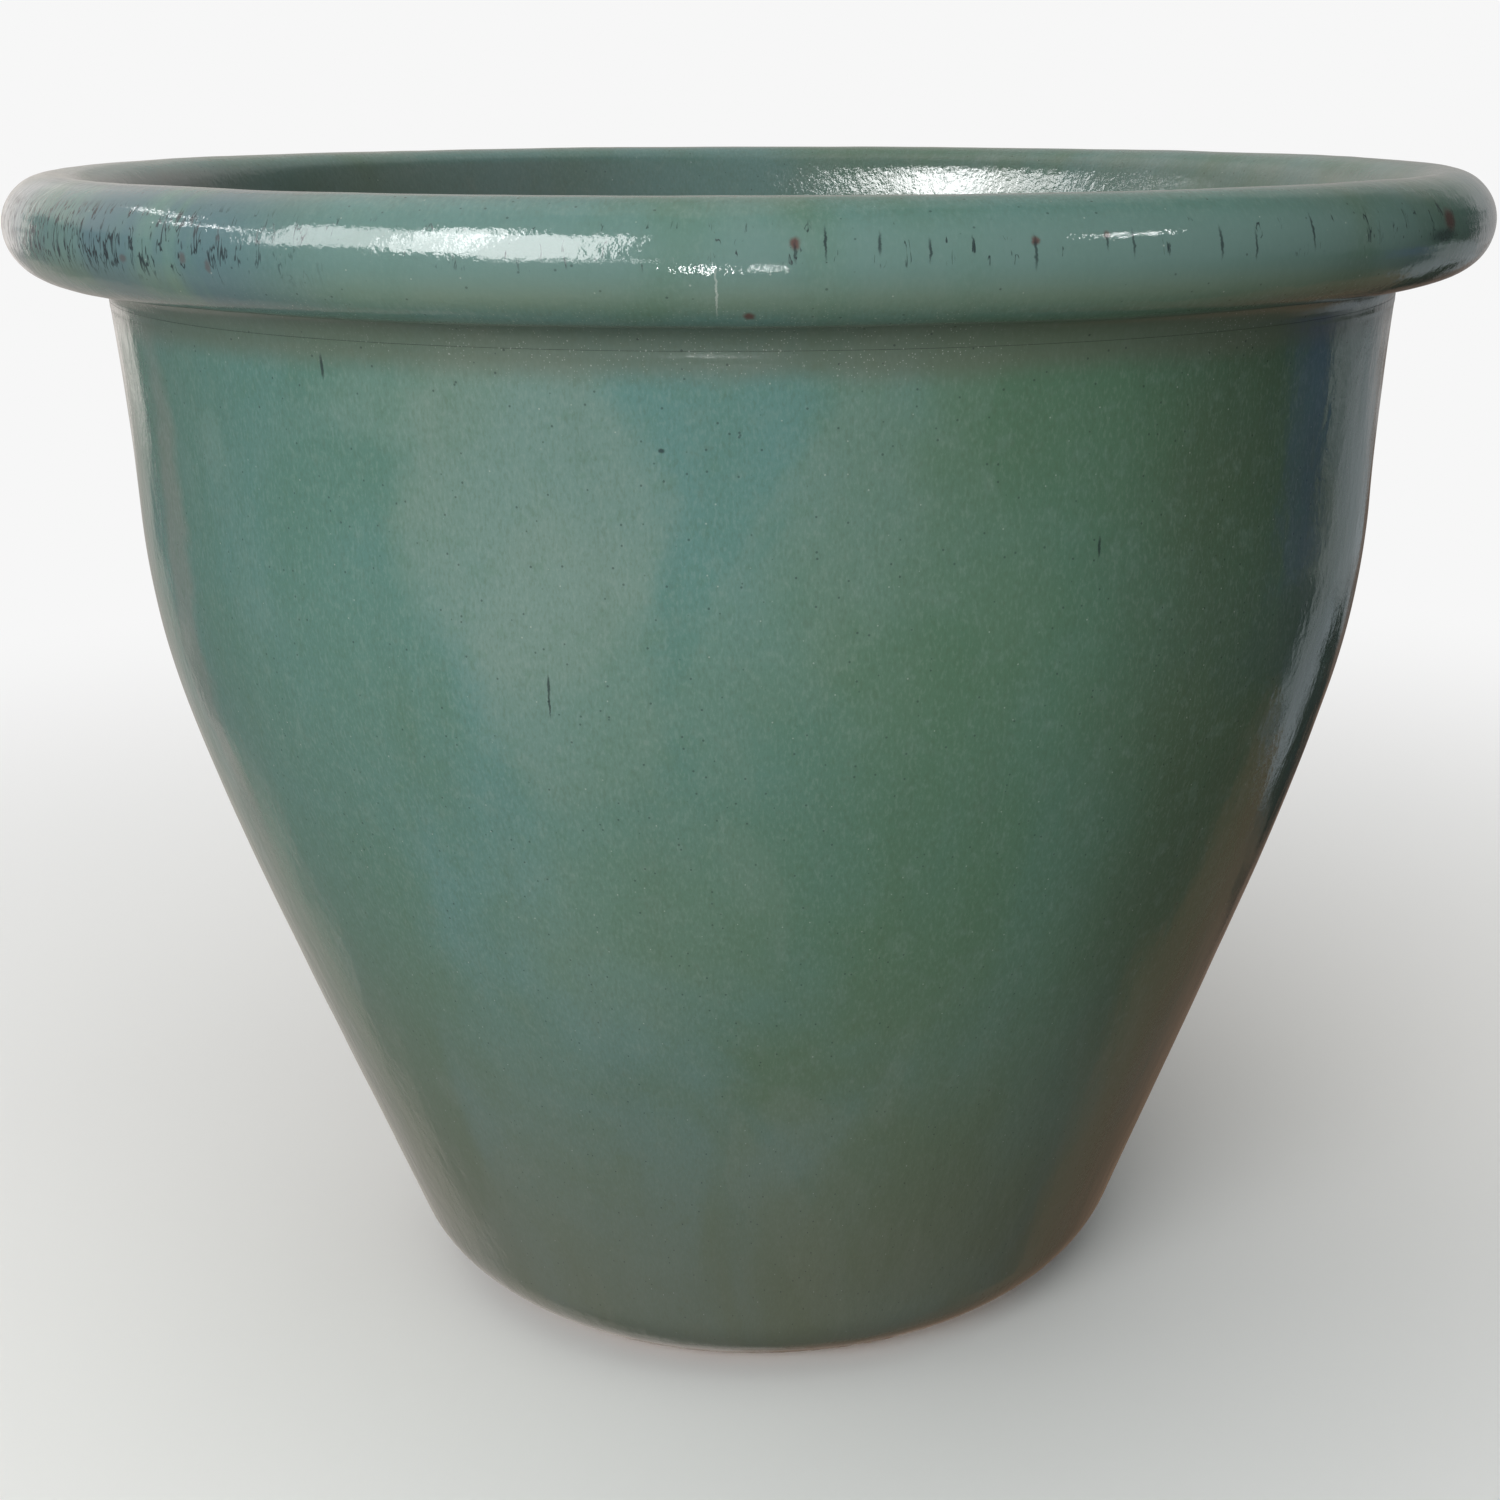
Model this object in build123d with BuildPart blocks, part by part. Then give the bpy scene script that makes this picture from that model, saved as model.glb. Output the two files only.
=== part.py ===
"""Glazed terracotta planter with a rolled rim, in millimetres.

The pot stands on z = 0 with its axis on +Z. Its outline is one chain of tangent arcs and
one straight flank. Every clay and glaze surface is that chain at its own depth below the
glazed skin, so neighbouring pieces meet face to face.
"""

import os
from math import acos, asin, atan2, cos, degrees, hypot, radians, sin, sqrt, tan

from build123d import *

# Driving dimensions of the outline
rim_radius = 280.0  # outermost radius, on the rolled rim
height = 450.0
roll_radius = 18.5  # half the thickness of the rolled rim
flank_lean = 20.6  # degrees from vertical, straight lower flank
flank_foot_radius = 138.5  # where the flank's line would reach the ground
flank_top = 158.8  # the flank is straight up to this height
corner_radius = 47.5  # rounding between the flank and the foot
belly_radius = 1218.0  # gentle curve of the belly
belly_top = 253.8
shoulder_radius = 299.0  # tighter curve where the belly turns upright
shoulder_top = 327.0
neck_radius = 1085.0  # hollow curve that flares to the rim
hollow_radius = 10.0  # hollow fillet between neck and roll
lip_radius = 180.0  # steep inner face of the roll, easing into the inside wall

# Thicknesses, and the reach of the glaze
glaze = 1.0
clay = 15.0
bare_foot = 5.0  # height of bare clay below the outside glaze
inside_reach = 140.0  # how far below the rim's top the inside glaze ends

# Base, drain hole and the joints between the clay pieces
foot_inner = 82.0
foot_outer = 118.0
slab_level = 10.0  # underside of the base slab
slab_thickness = 16.0
slab_radius = 122.0
drain_radius = 15.0
drain_edge = 1.5  # softened edges of the drain hole
coil_floor_radius = 108.0  # inner edge of the corner coil on the floor
coil_top = 47.0  # height up to which the corner coil is smeared
coil_hollow = 36.0  # radius of its finger-smoothed face
tongue_flat = 2.0  # flat each side of the tongue on the wall's top edge
tongue_rise = 4.0

# Depths below the glazed skin
clay_out = glaze
clay_in = glaze + clay
skin_in = glaze + clay + glaze


def polar(centre, radius, angle):
    """The point at an angle in degrees on a circle."""
    turn = radians(angle)
    return (centre[0] + radius * cos(turn), centre[1] + radius * sin(turn))


def bearing(start, end):
    """The angle in degrees, from 0 to 360, of the line from start to end."""
    return degrees(atan2(end[1] - start[1], end[0] - start[0])) % 360


def circles_meet(centre_a, radius_a, centre_b, radius_b):
    """The lower of the two points where two circles cross."""
    gap = hypot(centre_b[0] - centre_a[0], centre_b[1] - centre_a[1])
    turn = degrees(acos((radius_a**2 + gap**2 - radius_b**2) / (2 * radius_a * gap)))
    heading = bearing(centre_a, centre_b)
    points = [polar(centre_a, radius_a, heading + side * turn) for side in (-1, 1)]
    return min(points, key=lambda point: point[1])


class Stretch:
    """One arc of the outline, which keeps its centre at every depth below the skin."""

    def __init__(self, centre, radius, start, end=0.0, hollow=False):
        self.centre = centre
        self.radius = radius
        self.start = start
        self.end = end
        self.hollow = hollow  # the centre is outside the pot

    def radius_at(self, depth):
        return self.radius + depth if self.hollow else self.radius - depth

    def point(self, angle, depth=0.0):
        return polar(self.centre, self.radius_at(depth), angle)

    def angle_at(self, level, depth=0.0):
        """The angle at which the stretch reaches a height."""
        lift = degrees(asin((level - self.centre[1]) / self.radius_at(depth)))
        return 180.0 - lift if self.hollow else lift

    def arc(self, depth=0.0, start=None, end=None):
        first = self.start if start is None else start
        last = self.end if end is None else end
        return CenterArc(self.centre, self.radius_at(depth), first, last - first)


# The outline from the foot to the inside of the rim, each stretch tangent to the last
lean = radians(flank_lean)
corner_centre_r = flank_foot_radius - corner_radius * (1 - sin(lean)) / cos(lean)
corner = Stretch((corner_centre_r, corner_radius), corner_radius, -90.0, -flank_lean)

flank_end = (flank_foot_radius + flank_top * tan(lean), flank_top)
belly_centre = polar(flank_end, belly_radius, 180.0 - flank_lean)
belly = Stretch(belly_centre, belly_radius, -flank_lean)
belly.end = belly.angle_at(belly_top)

shoulder_centre = polar(belly.point(belly.end), shoulder_radius, 180.0 + belly.end)
shoulder = Stretch(shoulder_centre, shoulder_radius, belly.end)
shoulder.end = shoulder.angle_at(shoulder_top)

neck_centre = polar(shoulder.point(shoulder.end), neck_radius, shoulder.end)
neck = Stretch(neck_centre, neck_radius, 180.0 + shoulder.end, hollow=True)

roll_centre = (rim_radius - roll_radius, height - roll_radius)
hollow_centre = circles_meet(
    roll_centre, roll_radius + hollow_radius, neck_centre, neck_radius - hollow_radius
)
neck.end = bearing(neck_centre, hollow_centre)
hollow_end = bearing(hollow_centre, roll_centre)
hollow = Stretch(hollow_centre, hollow_radius, neck.end, hollow_end, hollow=True)

lip_centre = circles_meet(
    roll_centre, lip_radius - roll_radius, neck_centre, neck_radius + skin_in - lip_radius
)
roll_end = bearing(lip_centre, roll_centre)
roll = Stretch(roll_centre, roll_radius, hollow.end - 180.0, roll_end)
lip = Stretch(lip_centre, lip_radius, roll_end, bearing(neck_centre, lip_centre))


def flank(depth):
    """The straight stretch between the foot corner and the belly."""
    Line(corner.point(corner.end, depth), belly.point(belly.start, depth))


def on_joint(inward, rise=0.0):
    """A point on the wall's top joint, measured inwards from the clay's outside, and up."""
    base = neck.point(neck.end, clay_out + inward)
    return polar(base, rise, neck.end - 90.0)


# The joint runs straight in from under the roll until it meets the inside face of the lip
lip_gap = hypot(lip_centre[0] - neck_centre[0], lip_centre[1] - neck_centre[1])
lip_turn = radians(lip.end - neck.end)
half_chord = sqrt(lip.radius_at(clay_out) ** 2 - (lip_gap * sin(lip_turn)) ** 2)
joint_width = lip_gap * cos(lip_turn) + half_chord - neck.radius_at(clay_out)
lip_joint = bearing(lip_centre, on_joint(joint_width))


def tongue():
    """The joint of wall and rim roll: a flat, a rounded tongue and a flat."""
    start = on_joint(tongue_flat)
    crest = on_joint(joint_width / 2, tongue_rise)
    end = on_joint(joint_width - tongue_flat)
    Line(on_joint(0), start)
    ThreePointArc(start, crest, end)
    Line(end, on_joint(joint_width))


# Where the foot and the floor meet the outline
slab_top = slab_level + slab_thickness
foot_edge_angle = -degrees(acos((foot_outer - corner_centre_r) / corner.radius_at(clay_out)))
floor_angle = corner.angle_at(slab_top, clay_in)
flank_inside = corner.point(corner.end, clay_in)
coil_wall_radius = flank_inside[0] + (coil_top - flank_inside[1]) * tan(lean)

# Base slab: a disc on the wall's turned-in foot, with the drain hole
with BuildPart() as base_slab:
    with BuildSketch(Plane.XY.offset(slab_level)):
        Circle(slab_radius)
    extrude(amount=slab_thickness)
    Hole(drain_radius)
    hole_edges = base_slab.edges().filter_by(GeomType.CIRCLE).sort_by(SortBy.RADIUS)[:2]
    fillet(hole_edges, drain_edge)

# Wall: foot ring, rebate for the slab, flank, belly, shoulder and neck
with BuildPart() as wall:
    with BuildSketch(Plane.XZ):
        with BuildLine():
            Line((foot_inner, 0), (foot_outer, 0))
            Line((foot_outer, 0), corner.point(foot_edge_angle, clay_out))
            corner.arc(clay_out, start=foot_edge_angle)
            flank(clay_out)
            belly.arc(clay_out)
            shoulder.arc(clay_out)
            neck.arc(clay_out)
            tongue()
            lip.arc(clay_out, start=lip_joint)
            neck.arc(clay_in, end=lip.end)
            shoulder.arc(clay_in)
            belly.arc(clay_in)
            flank(clay_in)
            corner.arc(clay_in, start=floor_angle)
            Polyline(
                corner.point(floor_angle, clay_in),
                (slab_radius, slab_top),
                (slab_radius, slab_level),
                (foot_inner, slab_level),
                (foot_inner, 0),
            )
        make_face()
    revolve(axis=Axis.Z)

# Corner coil: soft clay pressed into the corner between slab and wall
with BuildPart() as corner_coil:
    with BuildSketch(Plane.XZ):
        with BuildLine():
            Line((coil_floor_radius, slab_top), corner.point(floor_angle, clay_in))
            corner.arc(clay_in, start=floor_angle)
            Line(flank_inside, (coil_wall_radius, coil_top))
            RadiusArc((coil_wall_radius, coil_top), (coil_floor_radius, slab_top), coil_hollow)
        make_face()
    revolve(axis=Axis.Z)

# Rim roll: a thick coil pressed over the wall's tongue and rolled outwards
with BuildPart() as rim_roll:
    with BuildSketch(Plane.XZ):
        with BuildLine():
            tongue()
            hollow.arc(clay_out)
            roll.arc(clay_out)
            lip.arc(clay_out, end=lip_joint)
        make_face()
    revolve(axis=Axis.Z)

# Outside glaze: from just above the foot to the joint under the roll
glaze_start = corner.angle_at(bare_foot)
with BuildPart() as outside_glaze:
    with BuildSketch(Plane.XZ):
        with BuildLine():
            for depth in (0, clay_out):
                corner.arc(depth, start=glaze_start)
                flank(depth)
                belly.arc(depth)
                shoulder.arc(depth)
                neck.arc(depth)
            Line(corner.point(glaze_start), corner.point(glaze_start, clay_out))
            Line(neck.point(neck.end), neck.point(neck.end, clay_out))
        make_face()
    revolve(axis=Axis.Z)

# Rim glaze: over the roll and down to the joint inside
with BuildPart() as rim_glaze:
    with BuildSketch(Plane.XZ):
        with BuildLine():
            for depth in (0, clay_out):
                hollow.arc(depth)
                roll.arc(depth)
                lip.arc(depth, end=lip_joint)
            Line(neck.point(neck.end), neck.point(neck.end, clay_out))
            Line(lip.point(lip_joint), lip.point(lip_joint, clay_out))
        make_face()
    revolve(axis=Axis.Z)

# Inside glaze: a band poured round the upper wall, over bare clay below
inside_end = shoulder.angle_at(height - inside_reach, clay_in)
with BuildPart() as inside_glaze:
    with BuildSketch(Plane.XZ):
        with BuildLine():
            for depth, inside_depth in ((0, skin_in), (clay_out, clay_in)):
                lip.arc(depth, start=lip_joint)
                neck.arc(inside_depth, end=lip.end)
                shoulder.arc(inside_depth, start=inside_end)
            Line(lip.point(lip_joint), lip.point(lip_joint, clay_out))
            Line(shoulder.point(inside_end, skin_in), shoulder.point(inside_end, clay_in))
        make_face()
    revolve(axis=Axis.Z)

nodes = {
    "base_slab": base_slab,
    "wall": wall,
    "corner_coil": corner_coil,
    "rim_roll": rim_roll,
    "outside_glaze": outside_glaze,
    "rim_glaze": rim_glaze,
    "inside_glaze": inside_glaze,
}
os.makedirs("parts", exist_ok=True)
for name, node in nodes.items():
    node.part.label = name
    export_step(node.part, f"parts/{name}.step")
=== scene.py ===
from math import acos, asin, atan2, cos, degrees, exp, pi, radians, sin, sqrt, tan

import bmesh
import bpy
from mathutils import Matrix, Vector, noise
from mathutils.geometry import intersect_sphere_sphere_2d


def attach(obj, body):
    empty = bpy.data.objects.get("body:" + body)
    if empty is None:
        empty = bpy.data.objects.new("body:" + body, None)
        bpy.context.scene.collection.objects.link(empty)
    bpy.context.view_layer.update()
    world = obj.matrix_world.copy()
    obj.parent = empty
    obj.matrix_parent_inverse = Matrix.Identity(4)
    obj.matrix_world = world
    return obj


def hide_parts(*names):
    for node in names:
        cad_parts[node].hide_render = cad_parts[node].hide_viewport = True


# Glazed terracotta planter, in metres, standing on z = 0 round the z axis

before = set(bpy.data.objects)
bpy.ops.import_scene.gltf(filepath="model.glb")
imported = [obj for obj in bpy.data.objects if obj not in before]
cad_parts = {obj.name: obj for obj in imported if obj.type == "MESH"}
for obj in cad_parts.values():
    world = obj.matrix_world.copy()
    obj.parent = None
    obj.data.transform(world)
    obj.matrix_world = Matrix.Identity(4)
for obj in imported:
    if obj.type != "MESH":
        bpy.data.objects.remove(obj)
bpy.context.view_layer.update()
print("frame loaded:", ", ".join(sorted(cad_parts)))

# outline of the pot, the same chain of arcs that the clay follows

potShape = {
    "rimRadius": 0.28,
    "height": 0.45,
    "rollRadius": 0.0185,
    "flankLean": 20.6,  # degrees from upright
    "flankFootRadius": 0.1385,
    "flankTop": 0.1588,
    "cornerRadius": 0.0475,
    "bellyRadius": 1.218,
    "bellyTop": 0.2538,
    "shoulderRadius": 0.299,
    "shoulderTop": 0.327,
    "neckRadius": 1.085,
    "hollowRadius": 0.01,
    "lipRadius": 0.18,
    "glaze": 0.001,
    "clay": 0.015,
    "footInner": 0.082,
    "footOuter": 0.118,
    "coilFloorRadius": 0.108,
    "coilTop": 0.047,
    "coilHollow": 0.036,
    "tongueFlat": 0.002,
    "tongueRise": 0.004,
    "slabLevel": 0.01,
    "slabTop": 0.026,
    "slabRadius": 0.122,
    "drainRadius": 0.015,
}


def polar(centre, radius, angle):
    return Vector((centre[0] + radius * cos(radians(angle)), centre[1] + radius * sin(radians(angle))))


def bearing(start, end):
    return degrees(atan2(end[1] - start[1], end[0] - start[0])) % 360


def lowerMeeting(centreA, radiusA, centreB, radiusB):
    return min(intersect_sphere_sphere_2d(centreA, radiusA, centreB, radiusB), key=lambda point: point[1])


def arcOf(centre, radius, start, end, hollow=False):
    return {"centre": Vector(centre), "radius": radius, "start": start, "end": end, "hollow": hollow}


def arcRadius(arc, depth):
    return arc["radius"] + depth if arc["hollow"] else arc["radius"] - depth


def arcPoint(arc, angle, depth=0.0):
    return polar(arc["centre"], arcRadius(arc, depth), angle)


def angleAt(arc, level, depth=0.0):
    lift = degrees(asin((level - arc["centre"][1]) / arcRadius(arc, depth)))
    return 180 - lift if arc["hollow"] else lift


def drawOutline(shape):
    lean = radians(shape["flankLean"])
    bend = shape["cornerRadius"]
    cornerCentre = (shape["flankFootRadius"] - bend * (1 - sin(lean)) / cos(lean), bend)
    corner = arcOf(cornerCentre, bend, -90, -shape["flankLean"])
    flankEnd = (shape["flankFootRadius"] + shape["flankTop"] * tan(lean), shape["flankTop"])
    bellyCentre = polar(flankEnd, shape["bellyRadius"], 180 - shape["flankLean"])
    belly = arcOf(bellyCentre, shape["bellyRadius"], -shape["flankLean"], 0)
    belly["end"] = angleAt(belly, shape["bellyTop"])
    shoulderCentre = polar(arcPoint(belly, belly["end"]), shape["shoulderRadius"], 180 + belly["end"])
    shoulder = arcOf(shoulderCentre, shape["shoulderRadius"], belly["end"], 0)
    shoulder["end"] = angleAt(shoulder, shape["shoulderTop"])
    neckCentre = polar(arcPoint(shoulder, shoulder["end"]), shape["neckRadius"], shoulder["end"])
    rollCentre = Vector((shape["rimRadius"] - shape["rollRadius"], shape["height"] - shape["rollRadius"]))
    hollowRadius = shape["hollowRadius"]
    hollowCentre = lowerMeeting(
        rollCentre, shape["rollRadius"] + hollowRadius, neckCentre, shape["neckRadius"] - hollowRadius
    )
    neckEnd = bearing(neckCentre, hollowCentre)
    neck = arcOf(neckCentre, shape["neckRadius"], 180 + shoulder["end"], neckEnd, True)
    hollow = arcOf(hollowCentre, hollowRadius, neck["end"], bearing(hollowCentre, rollCentre), True)
    insideSkin = 2 * shape["glaze"] + shape["clay"]
    lipCentre = lowerMeeting(
        rollCentre,
        shape["lipRadius"] - shape["rollRadius"],
        neckCentre,
        shape["neckRadius"] + insideSkin - shape["lipRadius"],
    )
    rollEnd = bearing(lipCentre, rollCentre)
    roll = arcOf(rollCentre, shape["rollRadius"], hollow["end"] - 180, rollEnd)
    lip = arcOf(lipCentre, shape["lipRadius"], rollEnd, bearing(neckCentre, lipCentre))
    return {
        "corner": corner, "belly": belly, "shoulder": shoulder, "neck": neck,
        "hollow": hollow, "roll": roll, "lip": lip,
    }


outline = drawOutline(potShape)
clayOut = potShape["glaze"]
clayIn = clayOut + potShape["clay"]
skinIn = clayIn + potShape["glaze"]


def onJoint(inward, rise=0.0):
    neck = outline["neck"]
    return polar(arcPoint(neck, neck["end"], clayOut + inward), rise, neck["end"] - 90)


def findJoint():
    # the joint of wall and roll runs straight in from the neck to the inside of the lip
    neck, lip = outline["neck"], outline["lip"]
    gap = (lip["centre"] - neck["centre"]).length
    turn = radians(lip["end"] - neck["end"])
    halfChord = sqrt(arcRadius(lip, clayOut) ** 2 - (gap * sin(turn)) ** 2)
    width = gap * cos(turn) + halfChord - arcRadius(neck, clayOut)
    return width, bearing(lip["centre"], onJoint(width))


jointWidth, lipJoint = findJoint()

# sections are grown with operators, then spun into pieces


def growArc(bm, tip, arc, start=None, end=None, steps=8):
    # the tip is already at its depth below the skin
    first = arc["start"] if start is None else start
    last = arc["end"] if end is None else end
    cent = Vector((arc["centre"][0], 0, arc["centre"][1]))
    turn = radians(last - first)
    grown = bmesh.ops.spin(bm, geom=[tip], cent=cent, axis=(0, -1, 0), angle=turn, steps=steps)
    return grown["geom_last"][0]


def growLine(bm, tip, point, steps=1):
    stride = (Vector((point[0], 0, point[1])) - tip.co) / steps
    for _ in range(steps):
        grown = bmesh.ops.extrude_vert_indiv(bm, verts=[tip])["verts"]
        bmesh.ops.translate(bm, verts=grown, vec=stride)
        tip = grown[0]
    return tip


def startSection(point):
    bm = bmesh.new()
    bm.verts.layers.float.new("skin")  # 1 where the surface may be shaped; later points inherit it
    bm.verts.layers.float.new("run")  # metres along the skin from the foot, for the glaze's runs
    return bm, bm.verts.new((point[0], 0, point[1]))


def markSkin(bm, since=0, run=0.0):
    skin, along = bm.verts.layers.float["skin"], bm.verts.layers.float["run"]
    verts = list(bm.verts)[since:]
    last = verts[0].co
    for vert in verts:
        run += (vert.co - last).length
        last = vert.co
        vert[skin], vert[along] = 1.0, run
    return run


def spinSection(bm, first, tip, segments, doublings=5):
    # one slice is spun, then copied round until the ring is full
    bmesh.ops.contextual_create(bm, geom=[first, tip])
    slices = 2**doublings
    bmesh.ops.spin(
        bm, geom=bm.verts[:] + bm.edges[:], cent=(0, 0, 0), axis=(0, 0, 1), angle=2 * pi / slices,
        steps=segments // slices,
    )
    for doubling in range(doublings):
        copied = bmesh.ops.duplicate(bm, geom=bm.verts[:] + bm.edges[:] + bm.faces[:])["geom"]
        turn = Matrix.Rotation(2 * pi / slices * 2**doubling, 3, "Z")
        moved = [part for part in copied if isinstance(part, bmesh.types.BMVert)]
        bmesh.ops.rotate(bm, verts=moved, cent=(0, 0, 0), matrix=turn)
        bmesh.ops.remove_doubles(bm, verts=bm.verts[:], dist=1e-6)
    bmesh.ops.recalc_face_normals(bm, faces=bm.faces[:])
    bm.normal_update()


def ease(low, high, value):
    share = min(max((value - low) / (high - low), 0.0), 1.0)
    return share * share * (3 - 2 * share)


def hump(value, middle, width):
    return exp(-(((value - middle) / width) ** 2))


def shapeSkin(bm, change):
    # moves the marked skin, and what is grown after it, along its normals by change(place, run)
    skin, along = bm.verts.layers.float["skin"], bm.verts.layers.float["run"]
    moves = [(vert, vert.normal * change(vert.co, vert[along])) for vert in bm.verts if vert[skin] > 0]
    for vert, move in moves:
        vert.co += move


def finishPiece(bm, name, material, nodes):
    for face in bm.faces:
        face.smooth = True
    for edge in bm.edges:
        edge.smooth = edge.calc_face_angle(0) < radians(40)
    mesh = bpy.data.meshes.new(name)
    bm.to_mesh(mesh)
    bm.free()
    mesh.materials.append(material)
    piece = bpy.data.objects.new(name, mesh)
    bpy.context.scene.collection.objects.link(piece)
    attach(piece, "root")
    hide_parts(*nodes)
    print(f"{name}: {sum(len(face.vertices) - 2 for face in mesh.polygons)} triangles")


def waver(place, run, sizes, seed):
    wide, tall, height = sizes
    flow = Vector((place.x / wide, place.y / wide, run / tall + seed))
    return noise.noise(flow) * height


# surfaces of the glaze coats, each waver a size round, a size along and a height

glazeSkin = {
    "segments": 640,
    "rimSegments": 800,
    "bareFoot": 0.005,
    "insideReach": 0.14,
    "broad": (0.055, 0.1, 0.00035),
    "ripple": (0.014, 0.022, 0.00009),
    "rings": (0.3, 0.017, 0.00005),
    "bead": 0.0005,  # where the coat stops above the foot
    "beadTuck": 0.0012,
    "footWave": 2.6,  # degrees that the lower edge wanders round the foot corner
    "seamReach": 0.006,  # finer steps near the seam under the roll
    "seamBelow": 0.0022,
    "seamRise": 0.00015,
    "seamWidth": 0.0008,
    "seamDip": (0.0008, 0.001, 0.0002),  # past the joint, width, depth
    "crestDip": (0.016, 0.009, 0.0005),  # before the roll's end, width, depth
    "lipHollow": (0.0125, 0.012, 0.0008),  # past the roll's end, width, depth
    "drip": 0.024,
    "dripBand": 0.035,
    "dripBead": 0.0004,
}


def glazeWaver(place, run):
    return (
        waver(place, run, glazeSkin["broad"], 3.1)
        + waver(place, run, glazeSkin["ripple"], 11.7)
        + waver(place, run, glazeSkin["rings"], 27.3)
    )


def waveFoot(bm):
    # slides the coat's lower edge up and down round the foot corner
    corner = outline["corner"]
    for vert in bm.verts:
        reach = ease(0.03, 0.006, vert.co.z) * glazeSkin["footWave"]
        if reach > 0:
            out = Vector((vert.co.x, vert.co.y, 0)).normalized()
            swing = noise.noise(Vector((out.x * 6, out.y * 6, 1.7))) + 0.5 * noise.noise(out * 17)
            axis = out.cross(Vector((0, 0, 1)))
            pivot = out * corner["centre"][0] + Vector((0, 0, corner["centre"][1]))
            vert.co = Matrix.Rotation(radians(swing * reach), 3, axis) @ (vert.co - pivot) + pivot


def makeOutsideGlaze(material):
    corner, belly, shoulder, neck = (outline[part] for part in ("corner", "belly", "shoulder", "neck"))
    edgeAngle = angleAt(corner, glazeSkin["bareFoot"])
    seamAngle = neck["end"] + degrees(glazeSkin["seamReach"] / neck["radius"])
    bm, first = startSection(arcPoint(corner, edgeAngle))
    tip = growArc(bm, first, corner, start=edgeAngle, steps=13)
    tip = growLine(bm, tip, arcPoint(belly, belly["start"]), steps=28)
    tip = growArc(bm, tip, belly, steps=24)
    tip = growArc(bm, tip, shoulder, steps=20)
    tip = growArc(bm, tip, neck, end=seamAngle, steps=20)
    tip = growArc(bm, tip, neck, start=seamAngle, steps=10)
    length = markSkin(bm)
    tip = growLine(bm, tip, arcPoint(neck, neck["end"], clayOut))
    tip = growArc(bm, tip, neck, neck["end"], neck["start"], steps=6)
    tip = growArc(bm, tip, shoulder, shoulder["end"], shoulder["start"], steps=5)
    tip = growArc(bm, tip, belly, belly["end"], belly["start"], steps=5)
    tip = growLine(bm, tip, arcPoint(corner, corner["end"], clayOut))
    tip = growArc(bm, tip, corner, corner["end"], edgeAngle, steps=10)
    spinSection(bm, first, tip, glazeSkin["segments"])
    seam = length - glazeSkin["seamBelow"]

    def change(place, run):
        # a rounded bead where the coat stops above the foot, and a broken ridge under the roll
        bead = ease(0.006, 0.002, run) * glazeSkin["bead"] - ease(0.0022, 0, run) * glazeSkin["beadTuck"]
        broken = 0.55 + 0.6 * noise.noise(Vector((place.x * 16, place.y * 16, 8.3)))
        ridge = hump(run, seam, glazeSkin["seamWidth"]) * glazeSkin["seamRise"] * max(broken, 0.15)
        waves = glazeWaver(place, run) * ease(0, 0.02, run) * ease(length, length - 0.012, run)
        return waves + bead + ridge

    shapeSkin(bm, change)
    waveFoot(bm)
    finishPiece(bm, "outsideGlaze", material, ["outside_glaze"])
    return length


def makeRimGlaze(material, run):
    neck, hollow, roll, lip = (outline[part] for part in ("neck", "hollow", "roll", "lip"))
    bm, first = startSection(arcPoint(neck, neck["end"]))
    tip = growArc(bm, first, hollow, steps=14)
    tip = growArc(bm, tip, roll, steps=54)
    tip = growArc(bm, tip, lip, end=lipJoint, steps=16)
    length = markSkin(bm, run=run)
    rollEnd = length - lip["radius"] * radians(lipJoint - lip["start"])
    tip = growLine(bm, tip, arcPoint(lip, lipJoint, clayOut))
    tip = growArc(bm, tip, lip, lipJoint, lip["start"], steps=4)
    tip = growArc(bm, tip, roll, roll["end"], roll["start"], steps=18)
    tip = growArc(bm, tip, hollow, hollow["end"], hollow["start"], steps=6)
    spinSection(bm, first, tip, glazeSkin["rimSegments"])

    pastJoint, jointSpread, jointDip = glazeSkin["seamDip"]
    beforeEnd, crestSpread, crestDip = glazeSkin["crestDip"]
    pastEnd, lipSpread, lipDip = glazeSkin["lipHollow"]

    def change(place, along):
        # the coat is thinner along the seam and the crest, and thinner still just inside the lip
        dip = hump(along, run + pastJoint, jointSpread) * jointDip
        worn = hump(along, rollEnd - beforeEnd, crestSpread) * crestDip
        worn += hump(along, rollEnd + pastEnd, lipSpread) * lipDip
        waves = glazeWaver(place, along) * ease(run, run + 0.01, along)
        return waves * ease(length, length - 0.006, along) - worn - dip

    shapeSkin(bm, change)
    finishPiece(bm, "rimGlaze", material, ["rim_glaze"])
    return length


def insideRadius(level, depth):
    neck, shoulder, belly = outline["neck"], outline["shoulder"], outline["belly"]
    arc = neck if level > potShape["shoulderTop"] else shoulder if level > potShape["bellyTop"] else belly
    return arcPoint(arc, angleAt(arc, level, depth), depth)[0]


def letDrip(bm, bottom):
    # draws the coat's lower edge down into uneven drips, following the inside wall
    skin = bm.verts.layers.float["skin"]
    for vert in bm.verts:
        share = ease(bottom + glazeSkin["dripBand"], bottom, vert.co.z)
        if share > 0:
            out = Vector((vert.co.x, vert.co.y, 0)).normalized()
            wide = 0.5 + 0.5 * noise.noise(Vector((out.x * 3.2, out.y * 3.2, 4.4)))
            narrow = max(noise.noise(Vector((out.x * 11, out.y * 11, 9.1))), 0) * 1.6
            level = vert.co.z - share * glazeSkin["drip"] * wide * (0.35 + narrow)
            depth = skinIn if vert[skin] > 0 else clayIn
            bead = ease(0.12, 0.0, 1 - share) * glazeSkin["dripBead"] * vert[skin]
            vert.co = out * (insideRadius(level, depth) + bead)
            vert.co.z = level


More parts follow.
